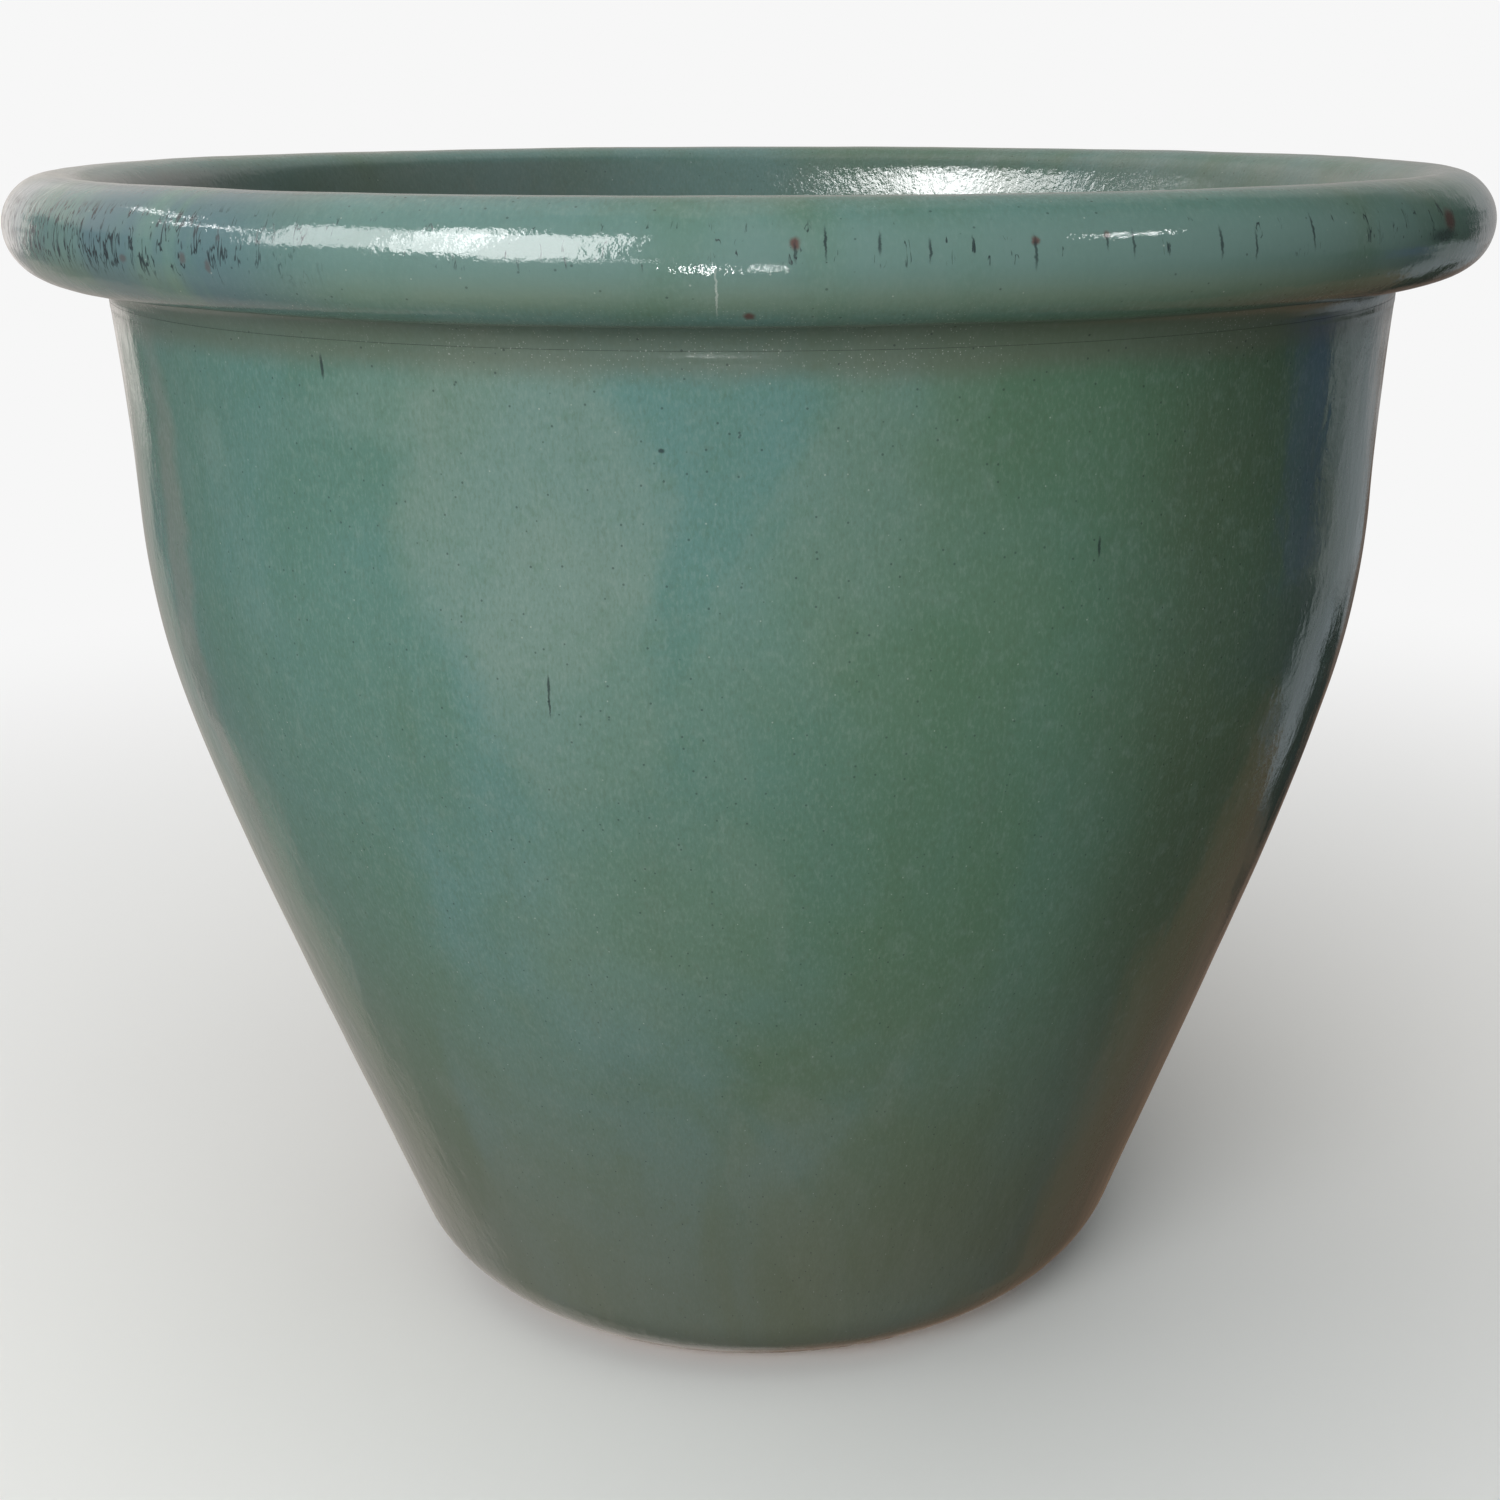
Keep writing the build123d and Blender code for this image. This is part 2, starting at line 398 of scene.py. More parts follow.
def makeInsideGlaze(material, run):
    neck, shoulder, lip = outline["neck"], outline["shoulder"], outline["lip"]
    bottom = potShape["height"] - glazeSkin["insideReach"]
    endAngle = angleAt(shoulder, bottom, clayIn)
    bm, first = startSection(arcPoint(lip, lipJoint))
    tip = growArc(bm, first, lip, start=lipJoint, steps=14)
    tip = growArc(bm, tip, neck, lip["end"], neck["start"], steps=16)
    tip = growArc(bm, tip, shoulder, shoulder["end"], endAngle, steps=12)
    length = markSkin(bm, run=run)
    tip = growLine(bm, tip, arcPoint(shoulder, endAngle, clayIn))
    tip = growArc(bm, tip, shoulder, endAngle, shoulder["end"], steps=12)
    tip = growArc(bm, tip, neck, neck["start"], lip["end"], steps=8)
    tip = growArc(bm, tip, lip, lip["end"], lipJoint, steps=6)
    spinSection(bm, first, tip, glazeSkin["segments"])

    def change(place, along):
        waves = glazeWaver(place, along) * ease(run, run + 0.01, along)
        return waves * ease(length, length - 0.03, along)

    shapeSkin(bm, change)
    letDrip(bm, bottom)
    finishPiece(bm, "insideGlaze", material, ["inside_glaze"])


# surfaces of the bare clay

potClay = {
    "segments": 320,
    "ringPitch": 0.0135,  # finger rings up the inside wall
    "ringDepth": 0.0006,
    "ringWander": (0.05, 0.08, 1.6),
    "ringRough": (0.03, 0.012, 0.0005),
    "footEdge": 0.0018,
    "slabEdge": 0.0015,
    "slabSpiral": 0.0115,
    "slabDepth": 0.0005,
    "slabRough": (0.012, 0.012, 0.00025),
    "slabSwell": (0.04, 0.04, 0.0006),
    "slabRagged": (0.011, 1, 0.0005),
    "smears": 34,  # thumb strokes round the corner coil
    "smearDepth": 0.0009,
    "smearLean": 9,  # radians for each metre up the coil
    "smearRough": (0.006, 0.02, 0.0003),
}


def softenRings(bm, level, offset):
    edges = [
        edge for edge in bm.edges
        if all(abs(vert.co.z - level) < 1e-5 for vert in edge.verts)
        and edge.calc_face_angle(0) > radians(30)
    ]
    bmesh.ops.bevel(bm, geom=edges, offset=offset, segments=3, profile=0.5, material=-1, affect="EDGES")


def makeWall(material):
    corner, belly, shoulder = (outline[part] for part in ("corner", "belly", "shoulder"))
    neck, lip = outline["neck"], outline["lip"]
    footEdge = -degrees(acos((potShape["footOuter"] - corner["centre"][0]) / arcRadius(corner, clayOut)))
    floorAngle = angleAt(corner, potShape["slabTop"], clayIn)
    bm, first = startSection(arcPoint(corner, floorAngle, clayIn))
    tip = growArc(bm, first, corner, floorAngle, corner["end"], steps=3)
    tip = growLine(bm, tip, arcPoint(belly, belly["start"], clayIn), steps=48)
    tip = growArc(bm, tip, belly, steps=34)
    tip = growArc(bm, tip, shoulder, steps=20)
    tip = growArc(bm, tip, neck, end=lip["end"], steps=6)
    length = markSkin(bm)
    tip = growArc(bm, tip, lip, lip["end"], lipJoint, steps=6)
    tip = growLine(bm, tip, onJoint(jointWidth - potShape["tongueFlat"]))
    tip = growLine(bm, tip, onJoint(jointWidth / 2, potShape["tongueRise"]))
    tip = growLine(bm, tip, onJoint(potShape["tongueFlat"]))
    tip = growLine(bm, tip, onJoint(0))
    tip = growArc(bm, tip, neck, neck["end"], neck["start"], steps=6)
    tip = growArc(bm, tip, shoulder, shoulder["end"], shoulder["start"], steps=5)
    tip = growArc(bm, tip, belly, belly["end"], belly["start"], steps=5)
    tip = growLine(bm, tip, arcPoint(corner, corner["end"], clayOut))
    tip = growArc(bm, tip, corner, corner["end"], footEdge, steps=14)
    tip = growLine(bm, tip, (potShape["footOuter"], 0))
    tip = growLine(bm, tip, (potShape["footInner"], 0), steps=6)
    tip = growLine(bm, tip, (potShape["footInner"], potShape["slabLevel"]), steps=2)
    tip = growLine(bm, tip, (potShape["slabRadius"], potShape["slabLevel"]))
    tip = growLine(bm, tip, (potShape["slabRadius"], potShape["slabTop"]))
    spinSection(bm, first, tip, potClay["segments"], doublings=4)

    def change(place, run):
        wander = waver(place, run, potClay["ringWander"], 5.2)
        rings = sin(2 * pi * run / potClay["ringPitch"] + wander) * potClay["ringDepth"]
        rings += waver(place, run, potClay["ringRough"], 14.8)
        return rings * ease(0.012, 0.03, run) * ease(0.286, 0.262, place.z)

    shapeSkin(bm, change)
    softenRings(bm, 0, potClay["footEdge"])
    print("inside wall:", round(length, 3), "m from floor to lip")
    finishPiece(bm, "thrownWall", material, ["wall"])


def makeBaseSlab(material):
    inner, edge = potShape["drainRadius"], potClay["slabEdge"]
    low, high, outer = potShape["slabLevel"], potShape["slabTop"], potShape["slabRadius"]
    bm, first = startSection((inner, low + edge))
    tip = growLine(bm, first, (inner, high - edge), steps=4)
    tip = growArc(bm, tip, arcOf((inner + edge, high - edge), edge, 180, 90), steps=4)
    tip = growLine(bm, tip, (outer, high), steps=52)
    markSkin(bm)
    tip = growLine(bm, tip, (outer, low))
    under = len(bm.verts)
    tip = growLine(bm, tip, (inner + edge, low), steps=30)
    tip = growArc(bm, tip, arcOf((inner + edge, low + edge), edge, 270, 225), steps=2)
    markSkin(bm, since=under, run=1)
    spinSection(bm, first, tip, 256)

    def change(place, run):
        radius, turn = sqrt(place.x**2 + place.y**2), atan2(place.y, place.x)
        rough = waver(place, run, potClay["slabRough"], 2.6) + waver(place, run, potClay["slabSwell"], 6.6)
        spiral = sin(2 * pi * radius / potClay["slabSpiral"] + turn) * potClay["slabDepth"]
        relief = rough + spiral if run < 1 else rough  # the underside has no spiral
        fullness = ease(outer, outer - 0.008, radius) * ease(inner, inner + 0.006, radius)
        ragged = waver(place, 0, potClay["slabRagged"], 3.9) * (1 - fullness) * 0.5
        return relief * fullness + ragged

    shapeSkin(bm, change)
    finishPiece(bm, "baseSlab", material, ["base_slab"])


def makeCornerCoil(material):
    corner = outline["corner"]
    floorAngle = angleAt(corner, potShape["slabTop"], clayIn)
    wallFoot = arcPoint(corner, corner["end"], clayIn)
    top = potShape["coilTop"]
    wallTop = Vector((wallFoot[0] + (top - wallFoot[1]) * tan(radians(potShape["flankLean"])), top))
    floorEnd = Vector((potShape["coilFloorRadius"], potShape["slabTop"]))
    bend = potShape["coilHollow"]
    centre = max(intersect_sphere_sphere_2d(wallTop, bend, floorEnd, bend), key=lambda point: point[1])
    face = arcOf(centre, bend, bearing(centre, floorEnd), bearing(centre, wallTop))
    bm, first = startSection(floorEnd)
    tip = growArc(bm, first, face, steps=22)
    length = markSkin(bm)
    tip = growLine(bm, tip, wallFoot, steps=3)
    tip = growArc(bm, tip, corner, corner["end"], floorAngle, steps=3)
    spinSection(bm, first, tip, 512)

    def change(place, run):
        lean = potClay["smearLean"] * (run - length / 2)
        turn = atan2(place.y, place.x) + lean + 0.06 * noise.noise(place * 25)
        stroke = abs(sin(turn * potClay["smears"] / 2))
        ridge = (0.45 - stroke) * potClay["smearDepth"] + waver(place, run, potClay["smearRough"], 7.7)
        return ridge * ease(0, 0.006, run) * ease(length, length - 0.006, run)

    shapeSkin(bm, change)
    finishPiece(bm, "cornerCoil", material, ["corner_coil"])


# short forms for shader nodes


def addNode(tree, kind, inputs=None, **settings):
    node = tree.nodes.new("ShaderNode" + kind)
    for name, value in settings.items():
        setattr(node, name, value)
    for name, value in (inputs or {}).items():
        if isinstance(value, bpy.types.NodeSocket):
            tree.links.new(value, node.inputs[name])
        else:
            node.inputs[name].default_value = value
    return node


def maths(tree, operation, a, b=0.0):
    return addNode(tree, "Math", {0: a, 1: b}, operation=operation).outputs[0]


def product(tree, *values):
    result = values[0]
    for value in values[1:]:
        result = maths(tree, "MULTIPLY", result, value)
    return result


def fade(tree, value, low, high):
    ranged = {"Value": value, "From Min": low, "From Max": high}
    return addNode(tree, "MapRange", ranged, interpolation_type="SMOOTHSTEP").outputs["Result"]


def blendColours(tree, share, a, b):
    node = addNode(tree, "Mix", data_type="RGBA")
    for socket, value in zip((node.inputs[0], node.inputs[6], node.inputs[7]), (share, a, b)):
        if isinstance(value, bpy.types.NodeSocket):
            tree.links.new(value, socket)
        else:
            socket.default_value = (*value, 1) if isinstance(value, tuple) else value
    return node.outputs[2]


def stretched(tree, vector, scale, place=(0, 0, 0)):
    inputs = {"Vector": vector, "Scale": scale, "Location": place}
    return addNode(tree, "Mapping", inputs).outputs["Vector"]


def grain(tree, vector, scale, detail, roughness, distortion=0.0):
    inputs = {"Vector": vector, "Scale": scale, "Detail": detail, "Roughness": roughness}
    return addNode(tree, "TexNoise", {**inputs, "Distortion": distortion}).outputs["Fac"]


def cells(tree, vector, scale):
    # for each cell, the distance from its middle and a number of its own
    cell = addNode(tree, "TexVoronoi", {"Vector": vector, "Scale": scale, "Randomness": 1.0})
    number = addNode(tree, "SeparateColor", {"Color": cell.outputs["Color"]}).outputs["Red"]
    return cell.outputs["Distance"], number


def spots(tree, cell, radius, low, high):
    # dots of a radius, in cells, in the cells whose number lies between low and high
    distance, number = cell
    chosen = maths(tree, "GREATER_THAN", number, low)
    chosen = product(tree, chosen, maths(tree, "LESS_THAN", number, high))
    return product(tree, fade(tree, distance, radius, radius * 0.55), chosen)


def shiftedBy(tree, vector, scale, detail, amount, squash=(1, 1, 1)):
    # the same coordinates, pushed about by a noise so that edges wander
    flow = stretched(tree, vector, squash)
    push = addNode(tree, "TexNoise", {"Vector": flow, "Scale": scale, "Detail": detail, "Roughness": 0.6})
    centred = {0: push.outputs["Color"], 1: (0.5, 0.5, 0.5)}
    push = addNode(tree, "VectorMath", centred, operation="SUBTRACT").outputs[0]
    reach = tuple(amount / way for way in squash)
    push = addNode(tree, "VectorMath", {0: push, 1: reach}, operation="MULTIPLY").outputs[0]
    return addNode(tree, "VectorMath", {0: vector, 1: push}, operation="ADD").outputs[0]


def blot(tree, plane, centre, size, soft):
    # an oval in a plane of metres, soft at its edge
    place = tuple(-middle / reach for middle, reach in zip(centre, size))
    scaled = stretched(tree, plane, (1 / size[0], 1 / size[1], 0), (*place, 0))
    far = addNode(tree, "VectorMath", {0: scaled}, operation="LENGTH").outputs["Value"]
    return fade(tree, far, 1 + soft / 2, 1 - soft / 2)


def newMaterial(name):
    material = bpy.data.materials.new(name)
    material.use_nodes = True
    return material, material.node_tree, material.node_tree.nodes["Principled BSDF"]


def addBump(tree, shader, height):
    # height in millimetres
    bump = addNode(tree, "Bump", {"Strength": 1.0, "Distance": 0.001, "Height": height})
    tree.links.new(bump.outputs["Normal"], shader.inputs["Normal"])


def glazeCoordinates(tree, drum):
    place = addNode(tree, "TexCoord").outputs["Object"]
    split = addNode(tree, "SeparateXYZ", {"Vector": place})
    run = addNode(tree, "Attribute", attribute_name="run").outputs["Fac"]
    towardsFront = maths(tree, "MULTIPLY", split.outputs["Y"], -1.0)
    turn = maths(tree, "ARCTAN2", split.outputs["X"], towardsFront)
    across = product(tree, turn, drum)  # metres round from the front
    flat = addNode(tree, "VectorMath", {0: place, 1: (1, 1, 0)}, operation="MULTIPLY").outputs[0]
    ring = addNode(tree, "VectorMath", {0: flat}, operation="NORMALIZE").outputs[0]
    ring = addNode(tree, "VectorMath", {0: ring, "Scale": drum}, operation="SCALE").outputs[0]
    upright = addNode(tree, "CombineXYZ", {"Z": run}).outputs["Vector"]
    return {
        "height": split.outputs["Z"],
        "across": across,
        "flow": addNode(tree, "VectorMath", {0: ring, 1: upright}, operation="ADD").outputs[0],
        "front": addNode(tree, "CombineXYZ", {"X": across, "Y": split.outputs["Z"]}).outputs["Vector"],
        "skin": addNode(tree, "CombineXYZ", {"X": across, "Y": run}).outputs["Vector"],
        "run": run,
    }


# colours and surface of the glaze

glazeLook = {
    "teal": (0.088, 0.182, 0.168),
    "green": (0.072, 0.142, 0.092),
    "cloudAndReflection": (0.142, 0.208, 0.178),
    "olive": (0.06, 0.078, 0.045),
    "thin": (0.115, 0.108, 0.08),
    "band": (0.1, 0.115, 0.085),
    "rutile": (0.112, 0.182, 0.165),
    "litMoss": (0.135, 0.178, 0.122),
    "slate": (0.072, 0.122, 0.155),
    "shade": (0.07, 0.07, 0.065),
    "blush": (0.24, 0.2, 0.185),
    "iron": (0.085, 0.04, 0.035),
    "ink": (0.012, 0.018, 0.022),
    "chalk": (0.42, 0.45, 0.42),
    "roughness": 0.045,
    "dullest": 0.12,  # more roughness in the darker band under the roll
    "peel": (0.1, 0.05, 0.14),  # millimetres, and more of it on the roll and inside the lip
    "swell": (0.32, 0.22),  # millimetres, and less of it on the roll
    "shine": (0.5, 0.4),  # and more of it inside the lip
    "ior": 1.5,
    "drum": 0.25,  # radius on which patterns are laid round the pot
}

bodyTones = [  # across, height, half width, half height, softness, tone, strength
    (-0.19, 0.33, 0.1, 0.16, 1.2, "teal", 0.6),
    # the cloud patches on the front are a painted reflection of lit ground
    (-0.076, 0.352, 0.045, 0.055, 0.35, "cloudAndReflection", 0.6),
    (-0.062, 0.305, 0.032, 0.05, 0.4, "cloudAndReflection", 0.5),
    (-0.05, 0.215, 0.05, 0.045, 0.8, "cloudAndReflection", 0.25),
    (0.034, 0.345, 0.02, 0.075, 0.6, "cloudAndReflection", 0.22),
    (-0.01, 0.25, 0.065, 0.075, 1.0, "green", 0.4),
    # the green and olive patches on the right side are painted shade, darker where less light reaches
    (0.12, 0.28, 0.085, 0.17, 1.1, "green", 0.75),
    (0.2, 0.3, 0.07, 0.17, 1.0, "olive", 0.55),
    (-0.205, 0.366, 0.009, 0.012, 0.9, "chalk", 0.05),
    (-0.126, 0.385, 0.02, 0.01, 0.9, "chalk", 0.06),
    # the narrow blush strip near the left edge is a painted reflection of the pale pinkish ground
    (-0.25, 0.3, 0.012, 0.09, 0.8, "blush", 0.35),
]

bodyDashes = [  # across, height, half width, half height
    (-0.07, 0.3005, 0.00045, 0.003),
    (-0.0703, 0.2945, 0.0003, 0.0045),
    (-0.145, 0.396, 0.0006, 0.0035),
    (0.113, 0.34, 0.0005, 0.003),
    (-0.03, 0.375, 0.0009, 0.0007),
]

rimMarks = [  # across, angle round the roll, half width, half height, tone, strength
    (0.009, 19, 0.0012, 0.0016, "iron", 0.9),
    (0.009, 12, 0.0004, 0.0026, "ink", 0.7),
    (0.0165, 20, 0.00035, 0.004, "ink", 0.85),
    (0.03, 19, 0.0004, 0.0028, "ink", 0.75),
    (0.0425, 12, 0.00035, 0.0028, "ink", 0.8),
    (0.0535, 17, 0.0003, 0.0022, "ink", 0.75),
    (-0.0025, -50, 0.0013, 0.0016, "iron", 0.9),
    (0.07, 19, 0.001, 0.0013, "iron", 0.85),
    (0.07, 9, 0.0004, 0.004, "ink", 0.75),
    (0.09, 22, 0.0009, 0.0009, "iron", 0.8),
    (0.09, 16, 0.0003, 0.002, "ink", 0.7),
    (0.0975, 14, 0.0003, 0.0035, "ink", 0.7),
    (0.108, 8, 0.0003, 0.0016, "ink", 0.7),
    (0.125, 12, 0.0004, 0.004, "ink", 0.8),
    (0.137, 8, 0.00035, 0.0036, "ink", 0.8),
    (0.159, 18, 0.00035, 0.005, "ink", 0.8),
    (0.234, 17, 0.004, 0.0035, "iron", 0.85),
    (0.228, 2, 0.009, 0.002, "ink", 0.6),
    (-0.1895, -8, 0.0016, 0.0012, "iron", 0.5),
    (-0.163, -4, 0.0012, 0.0016, "iron", 0.5),
    (-0.1535, -10, 0.001, 0.0018, "iron", 0.5),
    (-0.0105, -24, 0.0003, 0.007, "chalk", 0.45),
]


def rollRun(angle):
    roll, hollow = outline["roll"], outline["hollow"]
    climb = hollow["radius"] * radians(hollow["start"] - hollow["end"])
    return rimStart + climb + roll["radius"] * radians(angle - roll["start"])


def makeCeladon(look):
    material, tree, shader = newMaterial("celadonGlaze")
    spot = glazeCoordinates(tree, look["drum"])
    flow, height, across, run = spot["flow"], spot["height"], spot["across"], spot["run"]
    onRoll = fade(tree, run, rollRun(-75), rollRun(-45))
    litRoll = fade(tree, run, rollRun(-62), rollRun(-25))
    litRoll = product(tree, litRoll, fade(tree, run, rollRun(75), rollRun(15)))

    # broad mottling and clouds with wandering, rather firm edges, and placed tones that are partly painted
    # light
    broad = grain(tree, stretched(tree, flow, (1, 1, 0.7)), 9, 3, 0.55, 0.6)
    colour = blendColours(tree, fade(tree, broad, 0.36, 0.64), look["teal"], look["green"])
    loose = grain(tree, stretched(tree, flow, (1, 1, 0.6)), 14, 4, 0.6, 0.8)
    cloudy = product(tree, fade(tree, loose, 0.53, 0.62), 0.3)
    colour = blendColours(tree, cloudy, colour, look["cloudAndReflection"])
    wander = shiftedBy(tree, spot["front"], 22, 5, 0.035)
    for x, level, wide, tall, soft, tone, strength in bodyTones:
        mask = product(tree, blot(tree, wander, (x, level), (wide, tall), soft), strength)
        colour = blendColours(tree, mask, colour, look[tone])

    # small curdled mottling, and faint runs down the skin
    curd = grain(tree, flow, 120, 3, 0.7)
    colour = blendColours(tree, product(tree, fade(tree, curd, 0.5, 0.72), 0.22), colour, look["cloudAndReflection"])
    colour = blendColours(tree, product(tree, fade(tree, curd, 0.48, 0.3), 0.22), colour, look["green"])
    wide = grain(tree, stretched(tree, flow, (1, 1, 0.14)), 60, 2, 0.55)
    colour = blendColours(tree, product(tree, fade(tree, wide, 0.5, 0.75), 0.06), colour, look["olive"])
    fine = grain(tree, stretched(tree, flow, (1, 1, 0.45)), 900, 2, 0.7)
    colour = blendColours(tree, product(tree, fade(tree, fine, 0.5, 0.7), 0.07), colour, look["chalk"])
    colour = blendColours(tree, product(tree, fade(tree, fine, 0.5, 0.3), 0.2), colour, look["olive"])

    # thinner and browner towards the foot
    foot = product(tree, fade(tree, height, 0.25, 0.02), 0.72)
    colour = blendColours(tree, foot, colour, look["thin"])
    foot = product(tree, fade(tree, height, 0.016, 0.006), 0.5)
    colour = blendColours(tree, foot, colour, look["iron"])

    # a darker, duller band with chalky dust under the roll
    ragged = maths(tree, "ADD", height, product(tree, maths(tree, "SUBTRACT", loose, 0.5), 0.008))
    darkBand = product(tree, fade(tree, ragged, 0.392, 0.402), fade(tree, run, rollRun(-45), rollRun(-80)))
    colour = blendColours(tree, product(tree, darkBand, 0.65), colour, look["band"])
    underRoll = product(tree, fade(tree, height, 0.39, 0.402), fade(tree, run, rollRun(-15), rollRun(-50)))
    dust = spots(tree, cells(tree, flow, 1100), 0.28, 0.0, 0.4)
    dusty = product(tree, dust, underRoll, fade(tree, loose, 0.4, 0.6))
    colour = blendColours(tree, product(tree, dusty, 0.42), colour, look["chalk"])

    # greyer, bluer rutile bloom on the roll's lit front, with painted light there: a lighter moss green on
    # its lower half; and slate blue towards its left end
    bloom = product(tree, litRoll, fade(tree, broad, 0.75, 0.35))
    rollTone = blendColours(tree, fade(tree, run, rollRun(-50), rollRun(2)), look["litMoss"], look["rutile"])
    colour = blendColours(tree, product(tree, bloom, 0.9), colour, rollTone)
    leftEnd = product(tree, fade(tree, across, -0.1, -0.16), fade(tree, across, -0.4, -0.3), onRoll)
    slate = product(tree, leftEnd, fade(tree, loose, 0.4, 0.55), 0.65)
    colour = blendColours(tree, slate, colour, look["slate"])

    # darker inside the lip towards the back, and paler at its left end
    within = fade(tree, run, rollRun(114), rollRun(144))
    shaded = product(tree, fade(tree, across, -0.46, -0.56), fade(tree, across, -0.78, -0.66), 0.3)
    shaded = product(tree, within, maths(tree, "ADD", shaded, 0.28))
    colour = blendColours(tree, shaded, colour, look["shade"])
    paler = product(tree, within, fade(tree, across, -0.2, -0.3), fade(tree, across, -0.54, -0.44), 0.4)
    colour = blendColours(tree, paler, colour, look["blush"])

    # fine dark and pale specks, and a few pinholes
    small = cells(tree, flow, 300)
    specks = product(tree, spots(tree, small, 0.15, 0.0, 0.3), 0.5)
    colour = blendColours(tree, specks, colour, look["ink"])
    motes = product(tree, spots(tree, small, 0.11, 0.84, 1.0), 0.35)
    colour = blendColours(tree, motes, colour, look["chalk"])
    pits = cells(tree, flow, 46)
    rims = product(tree, spots(tree, pits, 0.04, 0.0, 0.12), 0.85)
    colour = blendColours(tree, rims, colour, look["chalk"])
    colour = blendColours(tree, spots(tree, pits, 0.02, 0.0, 0.12), colour, look["ink"])

    # crackled dark strokes on the roll, dense at its left end and loose elsewhere
    curls = maths(tree, "SUBTRACT", grain(tree, stretched(tree, flow, (1, 1, 0.2)), 420, 2, 0.6, 0.4), 0.5)
    strokes = fade(tree, maths(tree, "ABSOLUTE", curls), 0.045, 0.014)
    torn = grain(tree, stretched(tree, flow, (1, 1, 0.5)), 230, 2, 0.6)
    patch = fade(tree, run, rollRun(-34), rollRun(-8))
    patch = product(tree, patch, fade(tree, run, rollRun(52), rollRun(34)))
    crowd = maths(tree, "ADD", torn, product(tree, fade(tree, across, -0.14, -0.26), 0.22))
    dense = product(tree, leftEnd, patch, strokes, fade(tree, crowd, 0.53, 0.58))
    sparse = product(tree, strokes, fade(tree, torn, 0.6, 0.64), onRoll)
    sparse = product(tree, sparse, fade(tree, run, rollRun(-8), rollRun(4)))
    sparse = product(tree, sparse, fade(tree, run, rollRun(44), rollRun(30)), fade(tree, curls, -0.01, 0.0))
    cracked = maths(tree, "MAXIMUM", dense, sparse)
    colour = blendColours(tree, product(tree, cracked, 0.9), colour, look["ink"])

    # iron spots with runs below them, and dashes on the body
    rimPlane = shiftedBy(tree, spot["skin"], 420, 2, 0.0014)
    for x, angle, halfWidth, halfHeight, tone, strength in rimMarks:
        mark = blot(tree, rimPlane, (x, rollRun(angle)), (halfWidth, halfHeight), 1.1)
        colour = blendColours(tree, product(tree, mark, strength), colour, look[tone])
    dashPlane = shiftedBy(tree, spot["front"], 500, 2, 0.0008)
    for x, level, halfWidth, halfHeight in bodyDashes:
        dash = blot(tree, dashPlane, (x, level), (halfWidth, halfHeight), 0.9)
        colour = blendColours(tree, product(tree, dash, 0.75), colour, look["ink"])

    # surface: orange peel and soft swells
    everywhere, moreOnRoll, moreWithin = look["peel"]
    coarse = maths(tree, "ADD", product(tree, onRoll, moreOnRoll), product(tree, within, moreWithin))
    coarse = maths(tree, "ADD", coarse, everywhere)
    peel = product(tree, maths(tree, "SUBTRACT", grain(tree, flow, 330, 3, 0.62), 0.5), coarse)
    swell = maths(tree, "SUBTRACT", grain(tree, stretched(tree, flow, (1, 1, 0.6)), 75, 2, 0.5), 0.5)
    swelling, lessOnRoll = look["swell"]
    swell = product(tree, swell, maths(tree, "SUBTRACT", swelling, product(tree, onRoll, lessOnRoll)))
    addBump(tree, shader, maths(tree, "ADD", peel, swell))
    dull = product(tree, fade(tree, loose, 0.4, 0.65), 0.025)
    dull = maths(tree, "ADD", dull, product(tree, darkBand, look["dullest"]))
    dull = maths(tree, "ADD", dull, product(tree, cracked, 0.2))
    shine, moreShine = look["shine"]
    shiny = maths(tree, "ADD", product(tree, within, moreShine), shine)
    tree.links.new(maths(tree, "ADD", dull, look["roughness"]), shader.inputs["Roughness"])
    tree.links.new(colour, shader.inputs["Base Color"])
    tree.links.new(shiny, shader.inputs["Specular IOR Level"])
    shader.inputs["IOR"].default_value = look["ior"]
    return material


# colours and surface of the bare clay

clayLook = {
    "fired": (0.4, 0.175, 0.095),
    "pale": (0.5, 0.29, 0.18),
    "dark": (0.24, 0.1, 0.058),
    "bloom": (0.58, 0.47, 0.38),
    "grit": (0.12, 0.06, 0.04),
    "roughness": 0.86,
    "shine": 0.3,
}


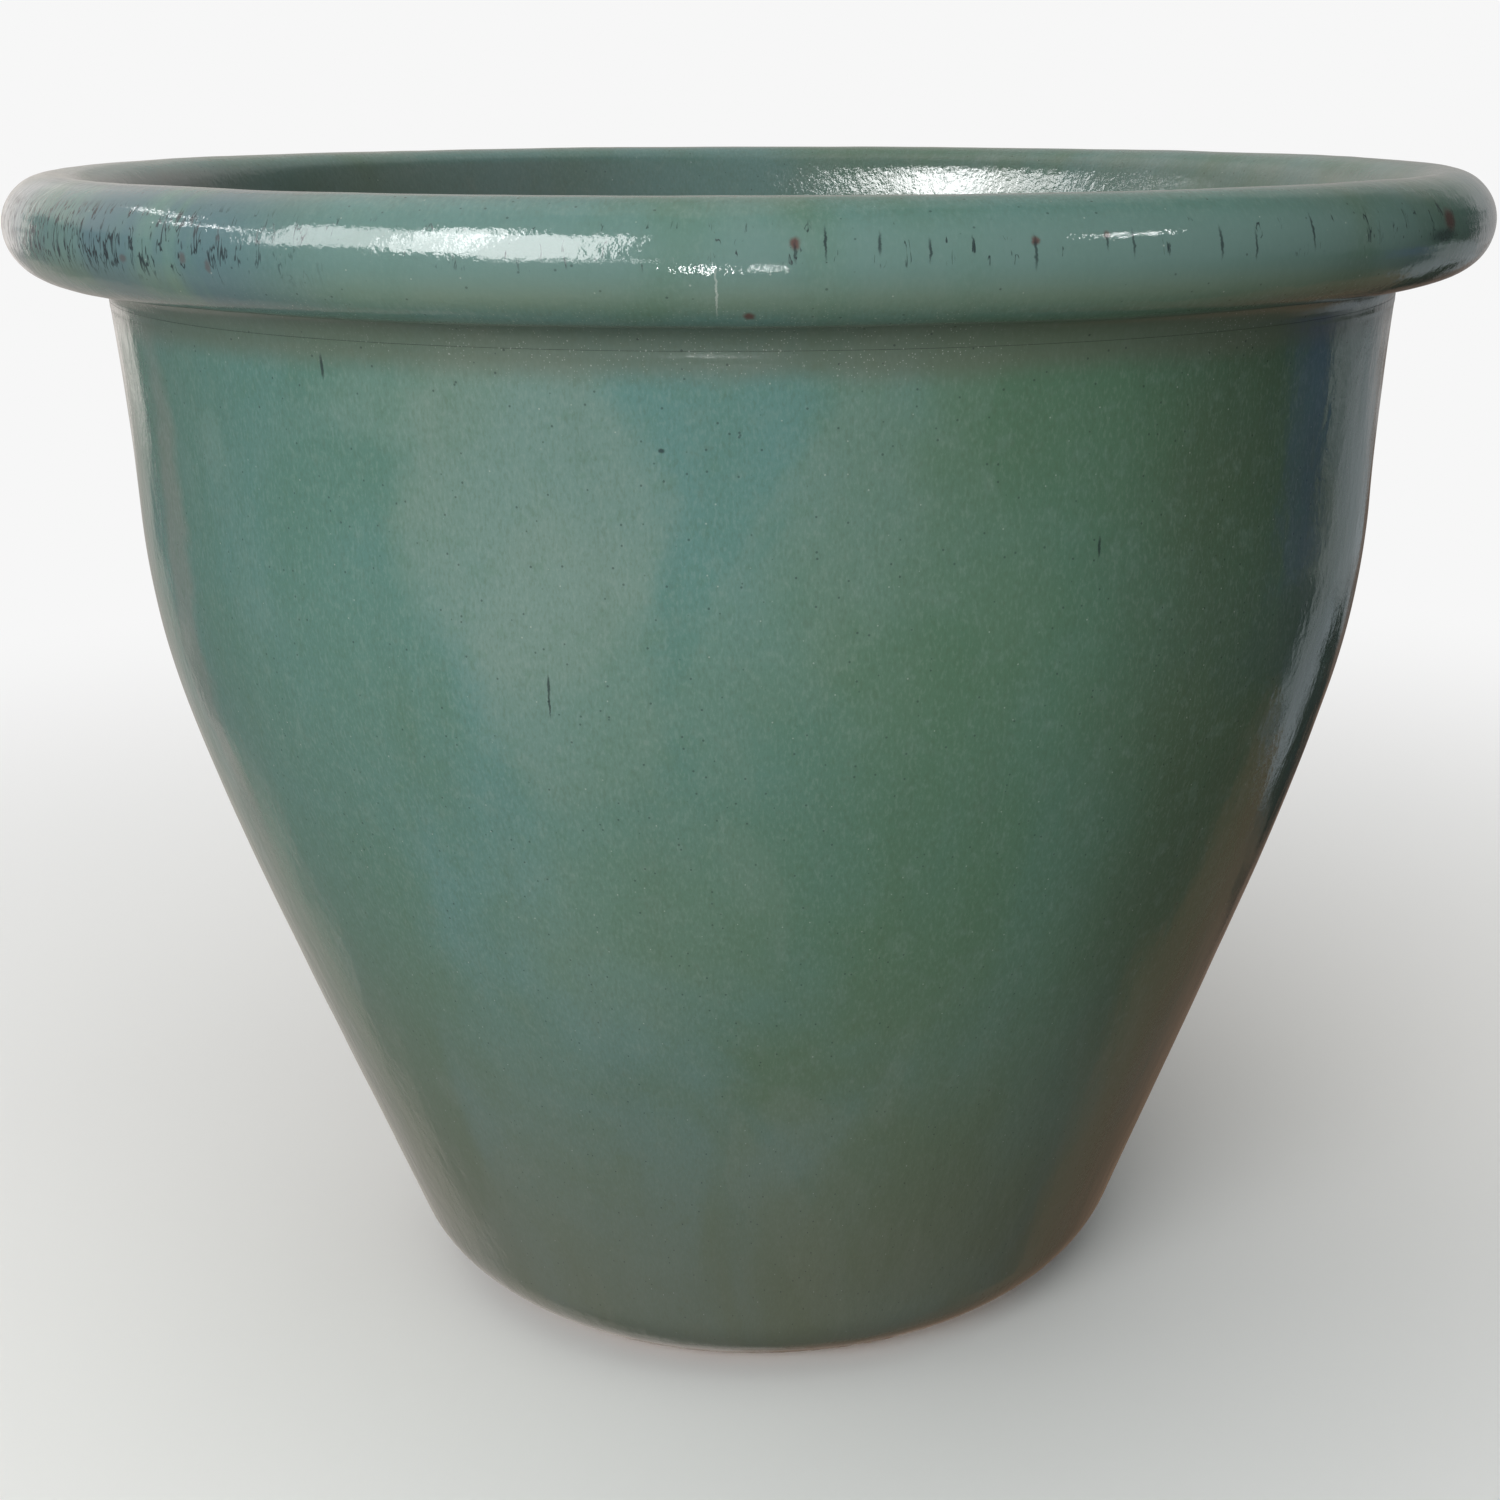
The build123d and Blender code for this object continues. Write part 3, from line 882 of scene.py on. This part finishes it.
def makeTerracotta(look):
    material, tree, shader = newMaterial("bareTerracotta")
    place = addNode(tree, "TexCoord").outputs["Object"]
    height = addNode(tree, "SeparateXYZ", {"Vector": place}).outputs["Z"]
    broad = grain(tree, stretched(tree, place, (1, 1, 2.2)), 11, 4, 0.6, 0.5)
    colour = blendColours(tree, fade(tree, broad, 0.35, 0.65), look["fired"], look["pale"])
    wiped = grain(tree, stretched(tree, place, (0.4, 0.4, 9)), 26, 3, 0.6)
    colour = blendColours(tree, product(tree, fade(tree, wiped, 0.5, 0.72), 0.4), colour, look["dark"])
    salts = grain(tree, place, 30, 5, 0.7)
    low = product(tree, fade(tree, height, 0.06, 0.0), fade(tree, salts, 0.42, 0.6), 0.5)
    patchy = product(tree, fade(tree, salts, 0.6, 0.74), 0.35)
    colour = blendColours(tree, maths(tree, "MAXIMUM", low, patchy), colour, look["bloom"])
    sand = grain(tree, place, 900, 3, 0.7)
    colour = blendColours(tree, product(tree, fade(tree, sand, 0.52, 0.7), 0.3), colour, look["pale"])
    pitted = cells(tree, place, 240)
    grit = spots(tree, pitted, 0.15, 0.0, 0.2)
    colour = blendColours(tree, product(tree, grit, 0.7), colour, look["grit"])
    pores = spots(tree, pitted, 0.17, 0.6, 1.0)
    colour = blendColours(tree, product(tree, pores, 0.6), colour, look["dark"])
    tree.links.new(colour, shader.inputs["Base Color"])
    lumps = product(tree, grain(tree, place, 190, 3, 0.6), 0.3)
    relief = maths(tree, "ADD", product(tree, sand, 0.16), lumps)
    relief = maths(tree, "SUBTRACT", relief, product(tree, pores, 0.35))
    relief = maths(tree, "ADD", relief, product(tree, grit, 0.12))
    addBump(tree, shader, relief)
    shader.inputs["Roughness"].default_value = look["roughness"]
    shader.inputs["Specular IOR Level"].default_value = look["shine"]
    return material


def skinLength(arc):
    return arc["radius"] * radians(abs(arc["end"] - arc["start"]))


def findRimStart():
    # metres along the skin from the coat's lower edge to the joint under the roll
    corner, belly = outline["corner"], outline["belly"]
    edgeAngle = angleAt(corner, glazeSkin["bareFoot"])
    foot = corner["radius"] * radians(corner["end"] - edgeAngle)
    flank = (arcPoint(belly, belly["start"]) - arcPoint(corner, corner["end"])).length
    return foot + flank + sum(skinLength(outline[part]) for part in ("belly", "shoulder", "neck"))


rimStart = findRimStart()
celadon = makeCeladon(glazeLook)
terracotta = makeTerracotta(clayLook)
print("materials made")

jointRun = makeOutsideGlaze(celadon)
insideStart = makeRimGlaze(celadon, jointRun)
makeInsideGlaze(celadon, insideStart)
makeWall(terracotta)
makeBaseSlab(terracotta)
makeCornerCoil(terracotta)
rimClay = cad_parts["rim_roll"]  # hidden under its glaze, so the plain solid stays
rimClay.data.materials.clear()
rimClay.data.materials.append(terracotta)

# camera a little above the rim, looking down

cameraPlace = {
    "location": (0, -0.8964, 0.479),
    "pitch": 0.25776,  # radians below level
    "yaw": 0.03432,
    "roll": 0.01056,
    "lens": 53.53,
    "shift": (-0.0595, -0.0507),
}


def placeCamera(place):
    pitch, yaw, roll = place["pitch"], place["yaw"], place["roll"]
    ahead = Vector((0, cos(pitch), -sin(pitch)))
    right = Vector((1, 0, 0))
    up = Vector((0, sin(pitch), cos(pitch)))
    ahead, right = sin(yaw) * right + cos(yaw) * ahead, cos(yaw) * right - sin(yaw) * ahead
    side = cos(roll) * right - sin(roll) * up
    top = sin(roll) * right + cos(roll) * up
    data = bpy.data.cameras.new("camera")
    data.lens = place["lens"]
    data.shift_x, data.shift_y = place["shift"]
    camera = bpy.data.objects.new("camera", data)
    turned = Matrix((side, top, -ahead)).transposed().to_4x4()
    camera.matrix_world = Matrix.Translation(place["location"]) @ turned
    bpy.context.scene.collection.objects.link(camera)
    bpy.context.scene.camera = camera


placeCamera(cameraPlace)

# soft lamps light the pot and floor, and panels are only mirrored in the glaze; each is
# azimuth, elevation, distance, size, radiance and tilt, with azimuths from the far side towards +x
studio = {
    "aim": (0, 0, 0.42),
    "lamps": {
        "key": (-158, 15, 2.1, (1.4, 1.1), 7.5, 0),
        "fill": (-172, -5, 1.7, (1.6, 0.4), 2.4, 0),
        "overhead": (-170, 84, 2.4, (2.6, 2.6), 1.1, 0),
        "behind": (25, 38, 2.6, (2.0, 1.4), 0.8, 0),
    },
    "mirrored": {
        "sidePane": (-115.5, 29, 4, (1.6, 1.95), 7, 5),
        "middlePane": (-132.5, 31, 4, (0.8, 2.8), 12, 4),
        "frontPane": (-148, 25.3, 4, (1.5, 2.65), 11, 5),
        "sill": (-158, 4, 1.6, (0.55, 0.035), 9, 0),
        "leftGleam": (-76, 32, 1.6, (0.45, 0.02), 16, 4),
        "brokenGleam": (-95, 27, 1.6, (0.45, 0.03), 20, 3),
        "rightGleam": (126.5, 29, 1.6, (0.32, 0.03), 40, 4),
        "flash": (179.5, -4, 0.75, (0.006, 0.09), 60, 0),
        "secondFlash": (-173.5, -4, 0.75, (0.009, 0.1), 80, 0),
    },
    "backdrop": 0.93,
    "floor": (0.8, 0.8, 0.79),
    "floorSize": 20,
    "floorFade": (0.2, 1.3),  # metres from the pot's axis
}

# surroundings mirrored in the glaze: radiance at azimuths from the far side towards +x
farGround = [
    (-180, (0.25, 0.27, 0.26)), (-150, (0.33, 0.35, 0.33)), (-95, (0.18, 0.21, 0.21)),
    (-60, (0.2, 0.22, 0.22)), (-42, (0.22, 0.24, 0.24)), (-36, (0.52, 0.51, 0.48)),
    (-8, (0.42, 0.38, 0.35)), (2, (0.3, 0.26, 0.24)), (15, (0.17, 0.13, 0.11)),
    (26, (0.16, 0.12, 0.1)), (32, (0.36, 0.39, 0.41)), (57, (0.4, 0.43, 0.46)),
    (60, (0.03, 0.03, 0.03)), (63, (0.05, 0.05, 0.24)), (71, (0.04, 0.04, 0.2)),
    (75, (0.01, 0.015, 0.01)), (105, (0.03, 0.04, 0.03)), (135, (0.12, 0.14, 0.12)),
    (180, (0.25, 0.27, 0.26)),
]
nearGround = [
    (-180, (0.3, 0.28, 0.25)), (-120, (0.4, 0.39, 0.35)), (-60, (0.28, 0.29, 0.28)),
    (-53, (0.28, 0.28, 0.27)), (-49, (0.5, 0.47, 0.43)), (-8, (0.48, 0.45, 0.41)),
    (8, (0.2, 0.14, 0.1)), (40, (0.18, 0.12, 0.085)), (60, (0.23, 0.16, 0.11)),
    (64, (0.07, 0.065, 0.055)), (120, (0.1, 0.1, 0.08)), (180, (0.26, 0.25, 0.22)),
]
middleGround = [
    (-180, (0.27, 0.27, 0.25)), (-120, (0.36, 0.36, 0.34)), (-60, (0.22, 0.23, 0.22)),
    (-44, (0.23, 0.24, 0.23)), (-40, (0.5, 0.48, 0.45)), (-8, (0.48, 0.45, 0.41)),
    (6, (0.22, 0.17, 0.13)), (20, (0.19, 0.13, 0.1)), (25, (0.02, 0.02, 0.02)),
    (38, (0.03, 0.03, 0.03)), (41, (0.38, 0.42, 0.46)), (52, (0.38, 0.42, 0.47)),
    (56, (0.04, 0.04, 0.09)), (110, (0.05, 0.05, 0.04)), (180, (0.27, 0.27, 0.25)),
]
horizon = [
    (-180, (0.34, 0.37, 0.36)), (-100, (0.35, 0.38, 0.38)), (-60, (0.2, 0.22, 0.24)),
    (-47, (0.2, 0.22, 0.24)), (-43, (1.3, 1.22, 1.16)), (-28, (1.1, 1.02, 0.98)),
    (-15, (0.5, 0.47, 0.44)), (10, (0.4, 0.38, 0.36)), (38, (0.45, 0.45, 0.46)),
    (43, (0.05, 0.055, 0.055)), (62, (0.04, 0.045, 0.045)), (80, (0.14, 0.16, 0.16)),
    (130, (0.16, 0.18, 0.17)), (180, (0.34, 0.37, 0.36)),
]
sky = [
    (-180, (0.3, 0.33, 0.32)), (-100, (0.36, 0.38, 0.38)), (-60, (0.8, 0.74, 0.7)),
    (-30, (0.95, 0.87, 0.82)), (-8, (0.6, 0.56, 0.53)), (32, (0.42, 0.42, 0.42)),
    (44, (0.1, 0.11, 0.11)), (62, (0.04, 0.045, 0.045)), (80, (0.14, 0.16, 0.16)),
    (130, (0.16, 0.18, 0.17)), (180, (0.34, 0.37, 0.36)),
]
zones = [  # the rise of a line of sight where each zone begins, and where it is full
    (-0.24, -0.29, middleGround),
    (-0.41, -0.46, nearGround),
    (-0.16, -0.12, horizon),
    (0.17, 0.24, sky),
]
underfoot = (-0.8, -0.97, (0.1, 0.1, 0.085))


def towards(azimuth, elevation):
    a, e = radians(azimuth), radians(elevation)
    return Vector((sin(a) * cos(e), cos(a) * cos(e), sin(e)))


def addPanel(name, place, mirrored):
    azimuth, elevation, distance, size, radiance, tilt = place
    light = bpy.data.lights.new(name, "AREA")
    light.shape = "RECTANGLE"
    light.size, light.size_y = size
    light.energy = radiance * pi * light.size * light.size_y
    panel = bpy.data.objects.new(name, light)
    direction = towards(azimuth, elevation)
    panel.location = Vector(studio["aim"]) + direction * distance
    tilted = Matrix.Rotation(radians(tilt), 3, "Z").to_quaternion()
    panel.rotation_mode = "QUATERNION"
    panel.rotation_quaternion = direction.to_track_quat("Z", "Y") @ tilted
    panel.visible_camera = False
    panel.visible_glossy = mirrored
    panel.visible_diffuse = not mirrored
    bpy.context.scene.collection.objects.link(panel)


def addRamp(tree, factor, stops):
    node = addNode(tree, "ValToRGB", {"Fac": factor})
    elements = node.color_ramp.elements
    while len(elements) < len(stops):
        elements.new(0.5)
    for element, (azimuth, tone) in zip(elements, stops):
        element.position = (azimuth + 180) / 360
        element.color = (*tone, 1)
    return node.outputs["Color"]


def makeSurroundings():
    world = bpy.data.worlds.new("studio")
    bpy.context.scene.world = world
    world.use_nodes = True
    tree = world.node_tree
    # uneven surroundings, with wandering edges
    direction = shiftedBy(tree, addNode(tree, "TexCoord").outputs["Generated"], 9, 2, 0.1)
    direction = shiftedBy(tree, direction, 11, 4, 0.6, (1, 1, 2.2))
    split = addNode(tree, "SeparateXYZ", {"Vector": direction})
    turn = maths(tree, "ARCTAN2", split.outputs["X"], split.outputs["Y"])
    around = maths(tree, "ADD", maths(tree, "DIVIDE", turn, 2 * pi), 0.5)
    rise = split.outputs["Z"]
    seen = addRamp(tree, around, farGround)
    for begins, full, zone in zones:
        seen = blendColours(tree, fade(tree, rise, begins, full), seen, addRamp(tree, around, zone))
    begins, full, tone = underfoot
    seen = blendColours(tree, fade(tree, rise, begins, full), seen, tone)
    background = tree.nodes["Background"]
    plain = addNode(tree, "Background", {"Color": (studio["backdrop"],) * 3 + (1,)})
    tree.links.new(seen, background.inputs["Color"])
    path = addNode(tree, "LightPath").outputs["Is Camera Ray"]
    mixed = addNode(tree, "MixShader", {0: path, 1: background.outputs[0], 2: plain.outputs[0]})
    tree.links.new(mixed.outputs[0], tree.nodes["World Output"].inputs["Surface"])


def makeFloor():
    mesh = bpy.data.meshes.new("floor")
    bm = bmesh.new()
    bmesh.ops.create_grid(bm, x_segments=1, y_segments=1, size=studio["floorSize"])
    bm.to_mesh(mesh)
    bm.free()
    floor = bpy.data.objects.new("floor", mesh)
    bpy.context.scene.collection.objects.link(floor)
    material, tree, shader = newMaterial("paleFloor")
    shader.inputs["Base Color"].default_value = (*studio["floor"], 1)
    shader.inputs["Roughness"].default_value = 0.9
    # far off, the floor turns into the backdrop
    glow = addNode(tree, "Emission", {"Color": (studio["backdrop"],) * 3 + (1,)})
    place = addNode(tree, "TexCoord").outputs["Object"]
    far = addNode(tree, "VectorMath", {0: place}, operation="LENGTH").outputs["Value"]
    faded = fade(tree, far, *studio["floorFade"])
    mixed = addNode(tree, "MixShader", {0: faded, 1: shader.outputs[0], 2: glow.outputs[0]})
    tree.links.new(mixed.outputs[0], tree.nodes["Material Output"].inputs["Surface"])
    mesh.materials.append(material)
    floor.visible_glossy = False
    floor.visible_diffuse = False


for lampName, lampPlace in studio["lamps"].items():
    addPanel(lampName, lampPlace, mirrored=False)
for panelName, panelPlace in studio["mirrored"].items():
    addPanel(panelName, panelPlace, mirrored=True)
makeSurroundings()
makeFloor()
bpy.context.scene.view_settings.view_transform = "Standard"
print("studio set")
